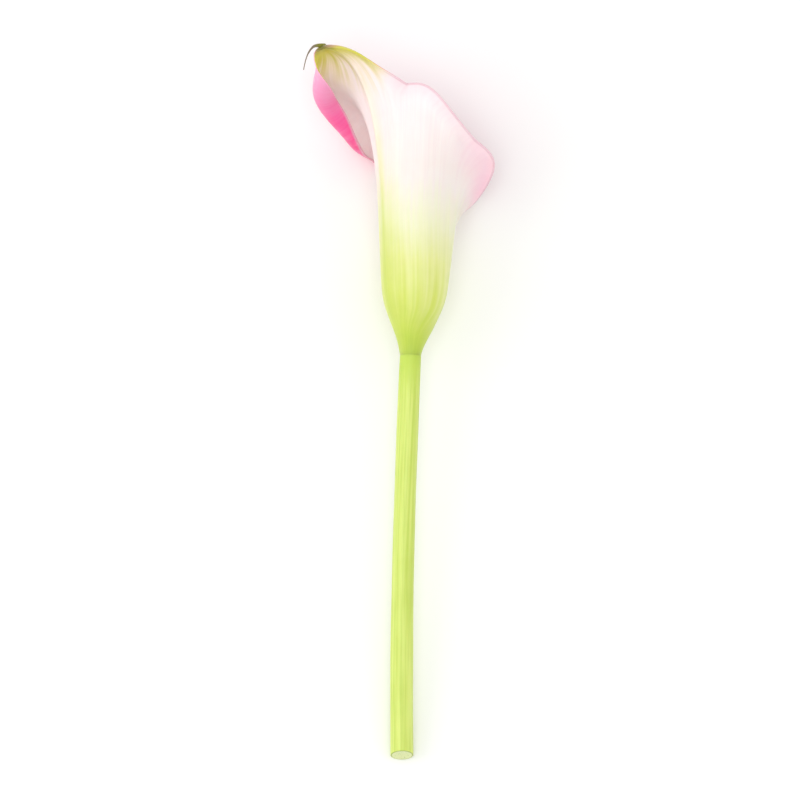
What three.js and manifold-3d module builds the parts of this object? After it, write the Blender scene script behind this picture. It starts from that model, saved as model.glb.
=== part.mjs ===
// A picked arum lily flower, lying on its side as it rests on a table.
// Millimetres, +Z up. Seen from above, the bloom points along +Y and the cut stem along -Y.
// The origin is on the table, under the middle of the whole flower's bounding box.
//
// The flower is made standing up first: the place where the spathe leaves the stem is the origin,
// +X is to the right and -Y is the side that faces up once the flower lies down.
//
// The spathe is one sheet, wrapped once round the spadix. A place across it is its turn: -1 at the
// edge of the flap that is wrapped under, 0 on the midrib at the back, +1 at the edge of the flap
// that is wrapped over it. Negative turns are the side that the flower lies on.

import * as THREE from 'three';
import Module from 'manifold-3d';

// ---------------------------------------------------------------- driving dimensions

const BLOOM = {
  backAzimuth: 60, // degrees that the midrib is turned to the left of the upper side
  lean: 2.5, // degrees that the bloom leans to the right of the stem
};

const LYING = {
  pitch: 6, // degrees that the bloom's end is raised by its rim
  depth: 16.14, // from the junction square down to the table, where the cut end also touches it
  pressSoftness: 0.25, // how gradually the limb turns into the flat that the table presses in it
};

const SHEET = {
  thickness: 0.9,
  rimThickness: 0.7,
  thinsFrom: 0.5, // share of the way up at which the sheet starts to thin towards the rim
  baseRadius: 3, // to the middle of the sheet, where it leaves the stem
  baseSpread: 19.5, // degrees that the sheet opens at, low down
  baseOpens: [2.5, 16], // the heights where that opening starts and stops
  baseSoftness: 1.8, // how gradually it does both
  tubeSlopeBack: 5, // degrees that the tube opens at, at the midrib
  tubeSlopeFront: 4.5, // and at the flaps
  throatBack: 39, // height where the tube starts to open into the limb, at the midrib
  throatFront: 27, // and at the flaps
  throatTurn: 0.6, // turn from which the throat comes down towards the flaps
  leaveReach: 0.4, // how far the tube's and the lip's direction carry, as shares of the span
  arriveReach: 0.3,
  beakLength: 8, // extra length of the pointed tip
  beakTurn: 0.06, // its half width, in turns
  beakPower: 1.5, // how squarely it stands on the rim
  rimStep: 0.03, // turns to each side over which the rim's direction is taken
  leastCurl: 0.001, // radians, so that a margin that isn't curled has a radius too
};

const WRAP = {
  overlap: 35, // degrees that each flap reaches past the front, low on the tube
  overlapLeft: 0.3, // the share of that which is left at the throat
  slit: 6, // degrees that each flap stops short of the front at the stem
  closes: [5, 14], // heights between which the slit closes and the flaps come to overlap
  opens: [15, 45], // heights between which the overlap gets narrower again
  spiral: 1.7, // how much farther out the sheet gets in one round of the wrap
  spiralTop: 8, // height where it is that much
};

// The rim, every 30 degrees from the front round by the underside to the midrib, and on round by
// the upper side to the front. The height and radius are those of the crest of the limb, the lip is
// the angle between the sheet there and the bloom's axis, and the curl is the margin beyond it.
const RIM = [
  { radius: 11, height: 42, lip: 15, curlWidth: 3, curl: 0 },
  { radius: 20, height: 54, lip: 46, curlWidth: 7, curl: 75 },
  { radius: 20.5, height: 62.5, lip: 62, curlWidth: 10, curl: 120 },
  { radius: 21, height: 69, lip: 74, curlWidth: 14, curl: 175 },
  { radius: 20, height: 73.5, lip: 80, curlWidth: 18, curl: 208 },
  { radius: 28.5, height: 82, lip: 84, curlWidth: 16, curl: 235 },
  { radius: 26, height: 90, lip: 94, curlWidth: 3, curl: 45 },
  { radius: 15.5, height: 77, lip: 20, curlWidth: 4, curl: 0 },
  { radius: 14, height: 75.5, lip: 15, curlWidth: 4, curl: 15 },
  { radius: 13.5, height: 68.5, lip: 20, curlWidth: 4, curl: 25 },
  { radius: 14.5, height: 62.5, lip: 30, curlWidth: 4, curl: 25 },
  { radius: 18.5, height: 57.5, lip: 60, curlWidth: 4, curl: 30 },
  { radius: 14.5, height: 43, lip: 25, curlWidth: 3, curl: 10 },
];

const AWN = {
  rootRadius: 0.5,
  tipRadius: 0.3,
  sunk: 1.5, // how far its root is inside the tip of the beak
  out: 5, // how far it reaches past the tip
  rise: 1, // how far it goes up first
  drop: 7, // and how far it then hangs down
  bends: [0.3, 0.8], // shares of its reach between which it bends
};

const STEM = {
  length: 120,
  topRadius: 3.2,
  cutRadius: 3.4,
  cutTilt: 25, // degrees that the cut face is off square
  cutShift: -2.6, // how far to the right of the junction the cut end is
  bow: 2.5, // how far the middle of the stem bends away from the table
  endTurn: 0.5, // how far the last third turns aside
  gap: 0.3, // between the stem's top face and what grows from it
};

const SPADIX = {
  baseRadius: 2,
  neckTop: 8, // height where the base has swollen to the pistils' radius
  floretsFrom: 1, // height where the first florets stand out
  pistilTop: 12,
  stamenTop: 47,
  pistilRadius: 2.7,
  stamenRadius: 3.1,
  tipRadius: 1.9, // before the end is rounded
  roundedFrom: 0.9, // share of the stamens' height where the end starts to be rounded
  roundedTo: 1.02, // and where it would close to a point
  zoneGap: 0.3,
  relief: 0.45, // how far a floret stands out
  floretsAround: 7,
  floretRise: 2.6, // height of two rows of florets
};

const COLOURS = {
  stem: 0xcfe08c,
  spathe: 0xf8e2e1,
  pistils: 0xcbd79c,
  stamens: 0xf0cb48,
};

// Facets: rows up the sheet in its three stretches, columns across it, and so on.
const TUBE_ROWS = 11;
const LIMB_ROWS = 11;
const CURL_ROWS = 8;
const SHEET_COLUMNS = 48;
const COLUMN_POWER = 1.6; // gathers the columns at the midrib
const COLUMN_GATHERING = 0.65; // the share of that power in their spacing
const STEM_RINGS = 22;
const STEM_SIDES = 14;
const AWN_RINGS = 6;
const AWN_SIDES = 6;
const SPADIX_COLUMNS = 28;
const SPADIX_ROW_HEIGHT = SPADIX.floretRise / 4;

// ---------------------------------------------------------------- small helpers

const radians = THREE.MathUtils.degToRad;
const mix = THREE.MathUtils.lerp;
const smooth = (from, to, x) => THREE.MathUtils.smoothstep(x, from, to);
const softplus = (x) => Math.log(1 + Math.exp(x));
const flat = (points) => points.flatMap((point) => point.toArray());
const backTurn = radians(270 - BLOOM.backAzimuth); // of the bloom round its own axis

/** A mesh from points and triangles, with its own plain material. */
function mesh(name, points, triangles, colour, roughness) {
  const geometry = new THREE.BufferGeometry();
  geometry.setAttribute('position', new THREE.Float32BufferAttribute(flat(points), 3));
  geometry.setIndex(triangles.flat());
  geometry.computeVertexNormals();
  const material = new THREE.MeshStandardMaterial({ color: colour, roughness, metalness: 0 });
  const result = new THREE.Mesh(geometry, material);
  result.name = name;
  return result;
}

/** The two triangles of a grid cell, from its corners in turn. */
const cell = (a, b, c, d) => [[a, b, c], [a, c, d]];

/** A value of the rim's stations at a turn, on a smooth curve through them all. */
function rimValue(key, turn) {
  const last = RIM.length - 1;
  const place = ((turn + 1) / 2) * last;
  const index = Math.min(Math.floor(place), last - 1);
  const at = (i) => RIM[THREE.MathUtils.clamp(i, 0, last)][key];
  const [a, b, c, d] = [at(index - 1), at(index), at(index + 1), at(index + 2)];
  const f = place - index;
  return b + 0.5 * f * (c - a + f * (2 * a - 5 * b + 4 * c - d + f * (3 * (b - c) + d - a)));
}

// ---------------------------------------------------------------- spathe

/** Radius and height of the tube at a turn and a height: a neck, a stretch that opens, a slow slope. */
function tubeAt(turn, height) {
  const front = (1 - Math.cos(Math.PI * turn)) / 2;
  const slope = Math.tan(radians(mix(SHEET.tubeSlopeBack, SHEET.tubeSlopeFront, front)));
  const soft = SHEET.baseSoftness;
  const [started, stopped] = SHEET.baseOpens.map((from) => (
    soft * (softplus((height - from) / soft) - softplus(-from / soft))
  ));
  const spread = Math.tan(radians(SHEET.baseSpread)) * (started - stopped);
  return new THREE.Vector2(SHEET.baseRadius + slope * height + spread, height);
}

/** Height where the limb starts, lower at the flaps than at the midrib. */
function throatAt(turn) {
  const front = smooth(SHEET.throatTurn, 1, Math.abs(turn));
  return mix(SHEET.throatBack, SHEET.throatFront, front);
}

/** Radius and height of the limb's crest at a turn, and the direction the sheet has there. */
function crestAt(turn) {
  const lip = radians(rimValue('lip', turn));
  const direction = new THREE.Vector2(Math.sin(lip), Math.cos(lip));
  const aside = Math.abs(turn / SHEET.beakTurn);
  const beak = SHEET.beakLength * Math.exp(-(aside ** SHEET.beakPower));
  const crest = new THREE.Vector2(rimValue('radius', turn), rimValue('height', turn));
  return { crest: crest.addScaledVector(direction, beak), direction };
}

/** Radius and height up one line of the sheet: level 0 to 1 is the tube, and 1 to 2 the limb. */
function profileAt(turn, level) {
  const throat = throatAt(turn);
  if (level <= 1) return tubeAt(turn, throat * level);
  const start = tubeAt(turn, throat);
  const leave = tubeAt(turn, throat + 1).sub(start).normalize();
  const { crest, direction } = crestAt(turn);
  const span = start.distanceTo(crest);
  return new THREE.CubicBezierCurve(
    start,
    start.clone().addScaledVector(leave, SHEET.leaveReach * span),
    crest.clone().addScaledVector(direction, -SHEET.arriveReach * span),
    crest,
  ).getPoint(level - 1);
}

/** The angle round the bloom's axis at a turn and a height: the flaps cross at the front. */
function azimuthAt(turn, height) {
  const opened = (1 - WRAP.overlapLeft) * smooth(...WRAP.opens, height);
  const closed = smooth(...WRAP.closes, height) * (1 - opened);
  return turn * (Math.PI + radians(mix(-WRAP.slit, WRAP.overlap, closed)));
}

/** A point of the sheet's middle, on the tube or the limb. */
function sheetPoint(turn, level) {
  const { x: radius, y: height } = profileAt(turn, level);
  const azimuth = azimuthAt(turn, height);
  const outward = WRAP.spiral * smooth(0, WRAP.spiralTop, height) * (azimuth / (2 * Math.PI));
  const distance = radius + outward;
  return new THREE.Vector3(distance * Math.cos(azimuth), distance * Math.sin(azimuth), height);
}

/** A point of the curled margin: an arc square to the rim, share 0 at the crest and 1 at the edge. */
function curlPoint(turn, share) {
  const crest = sheetPoint(turn, 2);
  const before = sheetPoint(Math.max(turn - SHEET.rimStep, -1), 2);
  const after = sheetPoint(Math.min(turn + SHEET.rimStep, 1), 2);
  const along = after.sub(before).normalize();
  const { x: out, y: up } = crestAt(turn).direction;
  const azimuth = azimuthAt(turn, crest.z);
  const across = new THREE.Vector3(out * Math.cos(azimuth), out * Math.sin(azimuth), up);
  across.addScaledVector(along, -across.dot(along)).normalize();
  const outward = along.clone().cross(across);
  const angle = Math.max(radians(rimValue('curl', turn)), SHEET.leastCurl);
  const radius = rimValue('curlWidth', turn) / angle;
  return crest
    .addScaledVector(across, radius * Math.sin(angle * share))
    .addScaledVector(outward, radius * (1 - Math.cos(angle * share)));
}

/** The direction square down to the table, in the bloom's own frame. */
function towardsTable() {
  const pitch = radians(LYING.pitch);
  return new THREE.Vector3(0, Math.cos(pitch), -Math.sin(pitch))
    .applyAxisAngle(new THREE.Vector3(0, 1, 0), -radians(BLOOM.lean))
    .applyAxisAngle(new THREE.Vector3(0, 0, 1), -backTurn);
}

/** Moves what would be below the table up to it, so that the limb rests on a small flat. */
function pressed(point) {
  const down = towardsTable();
  const soft = LYING.pressSoftness;
  const below = point.dot(down) - (LYING.depth - SHEET.rimThickness / 2);
  return point.addScaledVector(down, -soft * softplus(-below / soft) - below);
}

/** The turn of each column of the sheet, closer together at the midrib, where the tip is pointed. */
function columnTurns() {
  return Array.from({ length: SHEET_COLUMNS + 1 }, (_, j) => {
    const even = (2 * j) / SHEET_COLUMNS - 1;
    const size = Math.abs(even);
    return Math.sign(even) * mix(size, size ** COLUMN_POWER, COLUMN_GATHERING);
  });
}

/** The level of each row of the sheet: 0 to 1 is the tube, 1 to 2 the limb and 2 to 3 the margin. */
function rowLevels() {
  const levels = [0];
  [TUBE_ROWS, LIMB_ROWS, CURL_ROWS].forEach((rows, stretch) => {
    for (let i = 1; i <= rows; i += 1) levels.push(stretch + i / rows);
  });
  return levels;
}

/** The whole grid of the sheet's middle, row by row. */
function sheetGrid() {
  const turns = columnTurns();
  const pointAt = (turn, level) => (level <= 2 ? sheetPoint(turn, level) : curlPoint(turn, level - 2));
  return rowLevels().map((level) => turns.map((turn) => pressed(pointAt(turn, level))));
}

/** The sheet as a closed solid: its middle moved out and in along its normals, joined round the edge. */
function sheetSolid() {
  const grid = sheetGrid();
  const rows = grid.length;
  const columns = grid[0].length;
  const outer = [];
  const inner = [];
  const within = (index, count) => THREE.MathUtils.clamp(index, 0, count - 1);
  const pick = (i, j) => grid[within(i, rows)][within(j, columns)];
  for (let i = 0; i < rows; i += 1) {
    const thinned = smooth(SHEET.thinsFrom, 1, i / (rows - 1));
    const half = mix(SHEET.thickness, SHEET.rimThickness, thinned) / 2;
    for (let j = 0; j < columns; j += 1) {
      const around = pick(i, j + 1).clone().sub(pick(i, j - 1));
      const up = pick(i + 1, j).clone().sub(pick(i - 1, j));
      const normal = around.cross(up).normalize();
      outer.push(grid[i][j].clone().addScaledVector(normal, half));
      inner.push(grid[i][j].clone().addScaledVector(normal, -half));
    }
  }
  const count = rows * columns;
  const triangles = [];
  for (let i = 0; i < rows - 1; i += 1) {
    for (let j = 0; j < columns - 1; j += 1) {
      const corner = i * columns + j;
      const face = cell(corner, corner + 1, corner + columns + 1, corner + columns);
      triangles.push(...face, ...face.map(([a, b, c]) => [a + count, c + count, b + count]));
    }
  }
  const edge = [];
  for (let j = 0; j < columns - 1; j += 1) edge.push(j);
  for (let i = 0; i < rows - 1; i += 1) edge.push(i * columns + columns - 1);
  for (let j = columns - 1; j > 0; j -= 1) edge.push((rows - 1) * columns + j);
  for (let i = rows - 1; i > 0; i -= 1) edge.push(i * columns);
  edge.forEach((from, k) => {
    const to = edge[(k + 1) % edge.length];
    triangles.push(...cell(to, from, from + count, to + count));
  });
  return { points: [...outer, ...inner], triangles };
}

// ---------------------------------------------------------------- swept and turned solids

/** A closed round bar along a curve that lies mostly in the XZ plane. */
function barSolid(curve, radiusAt, rings, sides, endTilt = 0) {
  const points = [];
  const triangles = [];
  for (let i = 0; i <= rings; i += 1) {
    const share = i / rings;
    const along = curve.getTangent(share);
    const first = new THREE.Vector3(0, 1, 0).addScaledVector(along, -along.y).normalize();
    const second = along.clone().cross(first);
    for (let k = 0; k < sides; k += 1) {
      const angle = (2 * Math.PI * k) / sides;
      const radius = radiusAt(share);
      const slide = i === rings ? radius * Math.cos(angle) * Math.tan(endTilt) : 0;
      points.push(curve.getPoint(share)
        .addScaledVector(first, radius * Math.cos(angle))
        .addScaledVector(second, radius * Math.sin(angle))
        .addScaledVector(along, slide));
    }
  }
  for (let i = 0; i < rings; i += 1) {
    for (let k = 0; k < sides; k += 1) {
      const next = (k + 1) % sides;
      const row = i * sides;
      triangles.push(...cell(row + k, row + next, row + sides + next, row + sides + k));
    }
  }
  points.push(curve.getPoint(0), curve.getPoint(1));
  for (let k = 0; k < sides; k += 1) {
    const next = (k + 1) % sides;
    triangles.push([points.length - 2, next, k]);
    triangles.push([points.length - 1, rings * sides + k, rings * sides + next]);
  }
  return { points, triangles };
}

/** A closed solid turned round +Z whose radius depends on the height and the angle. */
function turnedSolid(heights, radiusAt, columns) {
  const points = [];
  const triangles = [];
  heights.forEach((height) => {
    for (let k = 0; k < columns; k += 1) {
      const angle = (2 * Math.PI * k) / columns;
      const radius = radiusAt(height, angle);
      points.push(new THREE.Vector3(radius * Math.cos(angle), radius * Math.sin(angle), height));
    }
  });
  const top = (heights.length - 1) * columns;
  for (let row = 0; row < top; row += columns) {
    for (let k = 0; k < columns; k += 1) {
      const next = (k + 1) % columns;
      triangles.push(...cell(row + k, row + next, row + columns + next, row + columns + k));
    }
  }
  points.push(new THREE.Vector3(0, 0, heights[0]), new THREE.Vector3(0, 0, heights.at(-1)));
  for (let k = 0; k < columns; k += 1) {
    const next = (k + 1) % columns;
    triangles.push([points.length - 2, next, k], [points.length - 1, top + k, top + next]);
  }
  return { points, triangles };
}

// ---------------------------------------------------------------- the pieces

/** The dried thread that the midrib ends in, from inside the tip of the beak. */
function awnSolid() {
  const tip = curlPoint(0, 1);
  const root = curlPoint(0, 1 - AWN.sunk / rimValue('curlWidth', 0));
  const [first, second] = AWN.bends.map((share) => share * AWN.out);
  const curve = new THREE.CubicBezierCurve3(
    root,
    tip.clone().add(new THREE.Vector3(first, 0, AWN.rise)),
    tip.clone().add(new THREE.Vector3(second, 0, AWN.rise)),
    tip.clone().add(new THREE.Vector3(AWN.out, 0, -AWN.drop)),
  );
  const radiusAt = (share) => mix(AWN.rootRadius, AWN.tipRadius, share);
  return barSolid(curve, radiusAt, AWN_RINGS, AWN_SIDES);
}

/** Joins closed solids into one. */
async function joined(solids) {
  const wasm = await Module();
  wasm.setup();
  const bodies = solids.map(({ points, triangles }) => new wasm.Manifold(new wasm.Mesh({
    numProp: 3,
    vertProperties: new Float32Array(flat(points)),
    triVerts: new Uint32Array(triangles.flat()),
  })));
  const { vertProperties, triVerts } = bodies.reduce((sum, body) => sum.add(body)).getMesh();
  const points = [];
  for (let i = 0; i < vertProperties.length; i += 3) {
    points.push(new THREE.Vector3().fromArray(vertProperties, i));
  }
  const triangles = [];
  for (let i = 0; i < triVerts.length; i += 3) {
    triangles.push([...triVerts.slice(i, i + 3)]);
  }
  return { points, triangles };
}

/** The wrapped, flared and curled sheet with its awn. */
async function spathe() {
  const { points, triangles } = await joined([sheetSolid(), awnSolid()]);
  return mesh('spathe', points, triangles, COLOURS.spathe, 0.45);
}

/** How far a floret stands out: two crossed waves, cut to their domes, in staggered rows. */
function floretRelief(height, angle) {
  const around = Math.cos(SPADIX.floretsAround * angle);
  const upwards = Math.cos((2 * Math.PI * height) / SPADIX.floretRise);
  return SPADIX.relief * Math.sqrt(Math.max(around * upwards, 0));
}

/** Heights from one end of a spadix zone to the other, four to each pair of floret rows. */
function zoneHeights(from, to) {
  const rows = Math.round((to - from) / SPADIX_ROW_HEIGHT);
  return Array.from({ length: rows + 1 }, (_, i) => mix(from, to, i / rows));
}

/** The lower, seed-bearing part of the spadix. */
function pistils() {
  const radiusAt = (height, angle) => {
    const body = mix(SPADIX.baseRadius, SPADIX.pistilRadius, smooth(0, SPADIX.neckTop, height));
    return body + smooth(SPADIX.floretsFrom, SPADIX.neckTop, height) * floretRelief(height, angle);
  };
  const heights = zoneHeights(0, SPADIX.pistilTop);
  const { points, triangles } = turnedSolid(heights, radiusAt, SPADIX_COLUMNS);
  return mesh('spadix_pistils', points, triangles, COLOURS.pistils, 0.5);
}

/** The upper, pollen-bearing part of the spadix, rounded at its end. */
function stamens() {
  const bottom = SPADIX.pistilTop + SPADIX.zoneGap;
  const radiusAt = (height, angle) => {
    const share = (height - bottom) / (SPADIX.stamenTop - bottom);
    const body = mix(SPADIX.stamenRadius, SPADIX.tipRadius, share ** 2);
    const rounding = Math.sqrt(1 - smooth(SPADIX.roundedFrom, SPADIX.roundedTo, share));
    return (body + floretRelief(height, angle)) * rounding;
  };
  const heights = zoneHeights(bottom, SPADIX.stamenTop);
  const { points, triangles } = turnedSolid(heights, radiusAt, SPADIX_COLUMNS);
  return mesh('spadix_stamens', points, triangles, COLOURS.stamens, 0.8);
}

/** The stem, from its flat top under the bloom down to its slanting cut. */
function stem() {
  const lean = radians(BLOOM.lean);
  const down = new THREE.Vector3(-Math.sin(lean), 0, -Math.cos(lean));
  const third = STEM.length / 3;
  const curve = new THREE.CubicBezierCurve3(
    down.clone().multiplyScalar(STEM.gap),
    down.clone().multiplyScalar(third),
    new THREE.Vector3(STEM.cutShift - STEM.endTurn, -STEM.bow, -2 * third),
    new THREE.Vector3(STEM.cutShift, 0, -STEM.length),
  );
  const radiusAt = (share) => mix(STEM.topRadius, STEM.cutRadius, share);
  const { points, triangles } = barSolid(curve, radiusAt, STEM_RINGS, STEM_SIDES, radians(STEM.cutTilt));
  return mesh('stem', points, triangles, COLOURS.stem, 0.5);
}

// ---------------------------------------------------------------- the flower, standing and then lying

const bloom = new THREE.Group();
bloom.add(await spathe(), pistils(), stamens());
bloom.rotation.z = backTurn;

const leaning = new THREE.Group();
leaning.add(bloom);
leaning.rotation.y = radians(BLOOM.lean);

const lying = new THREE.Group();
lying.add(leaning, stem());
lying.rotation.x = radians(LYING.pitch - 90);

const flower = new THREE.Group();
flower.name = 'arum_lily_flower';
flower.add(lying);
flower.updateMatrixWorld(true);
const box = new THREE.Box3().setFromObject(flower, true);
const middle = box.getCenter(new THREE.Vector3());
flower.position.set(-middle.x, -middle.y, -box.min.z);
flower.updateMatrixWorld(true);

export default flower;
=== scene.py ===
"""A picked arum lily flower, lying on a pale table, dressed over its fixed frame.

The flower is worked out in millimetres in the bloom's own frame: the origin is where the spathe
leaves the stem, +Z runs up the bloom's axis and +X points at the midrib. `Lying` then turns every
point into the frame, and `Surface.piece` makes it metres.

A place across the spathe is its turn: -1 at the edge of the flap that is wrapped under, 0 on the
midrib, +1 at the edge of the flap that is wrapped over it. A place up the spathe is its level: 0 to
1 is the tube, 1 to 2 the limb and 2 to 3 the curled margin.
"""

import logging
import math
from collections.abc import Callable, Sequence
from dataclasses import dataclass, field
from enum import Enum, auto
from functools import reduce

import bmesh
import bpy
import numpy as np
from numpy.typing import NDArray
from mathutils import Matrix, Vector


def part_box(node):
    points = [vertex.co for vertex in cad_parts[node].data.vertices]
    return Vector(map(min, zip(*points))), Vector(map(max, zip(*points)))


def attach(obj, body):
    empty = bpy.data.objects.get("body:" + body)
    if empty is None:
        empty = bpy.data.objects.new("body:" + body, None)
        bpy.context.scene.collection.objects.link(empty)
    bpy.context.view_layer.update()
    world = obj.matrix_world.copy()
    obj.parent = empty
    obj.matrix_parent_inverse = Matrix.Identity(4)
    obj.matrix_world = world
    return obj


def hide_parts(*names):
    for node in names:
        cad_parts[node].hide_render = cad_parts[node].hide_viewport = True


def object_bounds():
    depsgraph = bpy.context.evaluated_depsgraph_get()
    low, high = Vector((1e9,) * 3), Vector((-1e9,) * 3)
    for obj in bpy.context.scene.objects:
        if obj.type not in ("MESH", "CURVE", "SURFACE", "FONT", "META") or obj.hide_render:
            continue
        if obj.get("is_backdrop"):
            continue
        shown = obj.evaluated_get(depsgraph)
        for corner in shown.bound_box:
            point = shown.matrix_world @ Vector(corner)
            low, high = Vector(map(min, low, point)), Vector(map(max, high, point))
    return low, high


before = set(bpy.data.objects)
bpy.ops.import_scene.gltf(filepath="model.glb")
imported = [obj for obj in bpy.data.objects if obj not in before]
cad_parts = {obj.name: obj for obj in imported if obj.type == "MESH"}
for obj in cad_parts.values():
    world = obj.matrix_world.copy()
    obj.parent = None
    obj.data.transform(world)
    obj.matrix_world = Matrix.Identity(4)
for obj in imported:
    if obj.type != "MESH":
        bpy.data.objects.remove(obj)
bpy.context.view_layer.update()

Array = NDArray[np.float64]
Socket = bpy.types.NodeSocket
Span = tuple[float, float]
Colour = tuple[float, ...]
Ramp = tuple[tuple[float, Colour], ...]
Waves = tuple[tuple[float, ...], ...]
Radius = Callable[[Array, Array], Array]  # from the share of the way and the angle
Values = dict[str | int, object]  # of a node's sockets, by name or number
Sockets = tuple[tuple[object, ...], ...]
Look = tuple[Socket, Socket | float]  # a colour, and the height of its relief

LOG = logging.getLogger("arum_lily")
MM = 0.001
MERGED = 1e-7  # metres within which points become one
FLAT = 1e-8  # metres below which an edge goes
TINY = 1e-12  # a length that stands in for none
ROOT = "root"


class Slot(Enum):
    """Names of the material slots."""

    SPATHE = "spathe"
    PISTILS = "pistils"
    POLLEN = "pollen"
    STEM = "stem"


class Field(Enum):
    """The point attributes that the materials read, each three numbers."""

    PLACE = "place"  # turn, length from the base, distance to the margin, in millimetres
    TIP = "tip"  # distance to the tip in millimetres, angle round it, and 0 outside to 1 inside
    FIBRE = "fibre"  # place along the fibres, place across them, and a mask, share or wave


# ---------------- small helpers


def smoothstep(low: float, high: float, x: Array | float) -> Array:
    """Zero below low, one above high, and 3s^2 - 2s^3 between, with s the share of the way."""
    share = np.clip((np.asarray(x, float) - low) / (high - low), 0.0, 1.0)
    return share * share * (3.0 - 2.0 * share)


def between(first: Array | float, last: Array | float, share: Array) -> Array:
    """a + (b - a) s, which goes evenly from the first value a to the last b."""
    return first + (last - first) * share


def softplus(x: Array | float) -> Array:
    """log(1 + e^x), which turns smoothly from 0 to x."""
    return np.logaddexp(0.0, x)


def quarter_round(x: Array) -> Array:
    """sqrt(1 - (1 - x)^2), which rises from 0 at x = 0 to 1 at x = 1 and past it."""
    return np.sqrt(1 - (1 - np.clip(x, 0, 1)) ** 2)


def crowded(count: int) -> Array:
    """Shares from 0 to 1, without the 0, that crowd towards 1: the sines of even angles."""
    return np.sin(np.linspace(0, math.pi / 2, count + 1)[1:])


def round_angles(sides: int) -> Array:
    """Even angles once round, in radians."""
    return np.linspace(0.0, 2 * math.pi, sides, endpoint=False)


def ripple(waves: Waves, *places: Array) -> Array:
    """A sum of h sin(p + f1 x1 + f2 x2 ...).

    Args:
        waves: the height h, the phase p and the rates f of each.
        *places: the measures x that the rates go with.

    Returns:
        The sum at each place.
    """
    return sum(
        height * np.sin(phase + sum(rate * place for rate, place in zip(rates, places)))
        for height, phase, *rates in waves
    )


def unit(vectors: Array) -> Array:
    """The vectors at length 1, along their last axis."""
    return vectors / np.maximum(np.linalg.norm(vectors, axis=-1, keepdims=True), TINY)


def turned(axis: int, degrees: float) -> Array:
    """The matrix that turns points by an angle round X, Y or Z.

    Args:
        axis: 0, 1 or 2.
        degrees: by the right-hand rule.

    Returns:
        A 3 by 3 rotation.
    """
    c, s = math.cos(math.radians(degrees)), math.sin(math.radians(degrees))
    matrix = np.eye(3)
    a, b = (axis + 1) % 3, (axis + 2) % 3
    matrix[a, a], matrix[a, b], matrix[b, a], matrix[b, b] = c, -s, s, c
    return matrix


def bezier(points: Sequence[Array], share: Array) -> Array:
    """A cubic Bezier curve: the four points weighed by (1-s)^3, 3s(1-s)^2, 3s^2(1-s) and s^3.

    Args:
        points: the four control points, or arrays of them.
        share: the places along it, with a last axis of 1.

    Returns:
        The points there.
    """
    a, b, c, d = points
    left = 1.0 - share
    return left**3 * a + 3 * left**2 * share * b + 3 * left * share**2 * c + share**3 * d


def around_axis(radius: Array, angle: Array, height: Array) -> Array:
    """Points round the bloom's axis, from their radii, angles and heights."""
    return np.stack([radius * np.cos(angle), radius * np.sin(angle), height], -1)


# ---------------- how the flower lies


@dataclass(frozen=True)
class Lying:
    """Where the bloom and its stem lie. Angles are in degrees and lengths in millimetres."""

    back_azimuth: float = 60.0  # that the midrib is turned to the left of the upper side
    lean: float = 2.5  # of the bloom, to the right of the stem
    pitch: float = 6.0  # that the bloom's end is raised
    depth: float = 16.14  # from the junction square down to the table
    softness: float = 0.25  # of the bend into the flat that the table presses

    @property
    def bloom_to_standing(self) -> Array:
        """The turn of the bloom on its stem."""
        return turned(1, self.lean) @ turned(2, 270.0 - self.back_azimuth)

    @property
    def standing_to_frame(self) -> Array:
        """The turn that lays the flower down."""
        return turned(0, self.pitch - 90.0)

    def pressed(self, points: Array, rim_half: float) -> Array:
        """Moves what would be below the table up to it.

        A point's depth e past the table becomes -k log(1 + exp(-e / k)), with k the softness.

        Args:
            points: of the sheet's middle, in the bloom's frame.
            rim_half: half the sheet's thickness there.

        Returns:
            The points, none of them below.
        """
        pitch = math.radians(self.pitch)
        down = np.array([0.0, math.cos(pitch), -math.sin(pitch)]) @ self.bloom_to_standing
        below = points @ down - (self.depth - rim_half)
        lifted = -self.softness * softplus(-below / self.softness)
        return points + (lifted - below)[..., None] * down


LYING = Lying()


# ---------------- meshes


@dataclass(frozen=True)
class Bar:
    """A round bar carried along a curve that lies mostly in the XZ plane."""

    path: tuple[Array, Array, Array, Array]
    radius: Radius

    def grid(self, shares: Array, sides: int, end_slope: float = 0.0, eased: float = 1.0) -> Array:
        """Rings square to the curve: the first direction is Y less its part along the curve.

        Args:
            shares: the places of the rings along the curve.
            sides: points on each ring.
            end_slope: the slope of the last ring against a square one.
            eased: the share of the curve over which the rings turn to that slope.

        Returns:
            Points, as rings by sides by 3.
        """
        step = 1e-4
        s = shares[:, None]
        centres = bezier(self.path, s)
        along = unit(bezier(self.path, s + step) - bezier(self.path, s - step))
        first = unit(np.array([0.0, 1.0, 0.0]) - along[:, 1:2] * along)
        second = np.cross(along, first)
        angle = round_angles(sides)[None, :]
        radius = self.radius(s, angle) * np.ones((len(shares), sides))
        x, y = radius * np.cos(angle), radius * np.sin(angle)
        slide = x * end_slope * np.clip(1 - (1 - s) / eased, 0, 1)
        ways = ((x, first), (y, second), (slide, along))
        return centres[:, None] + sum(far[..., None] * way[:, None] for far, way in ways)


def poled(rings: Array) -> Array:
    """The rings with a pole before the first and one after the last, each at its ring's mean."""
    ends = [np.broadcast_to(ring.mean(0), ring.shape)[None] for ring in (rings[0], rings[-1])]
    return np.concatenate([ends[0], rings, ends[1]])


def grid_faces(rows: int, columns: int, ring: bool = False) -> Array:
    """The quads of a grid of points.

    Args:
        rows: of points.
        columns: of points.
        ring: whether the last column joins the first.

    Returns:
        Four indices for each face.
    """
    i, j = np.meshgrid(np.arange(rows - 1), np.arange(columns - (not ring)), indexing="ij")
    low, beside = i * columns + j, i * columns + (j + 1) % columns
    return np.stack([low, beside, beside + columns, low + columns], -1).reshape(-1, 4)


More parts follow.
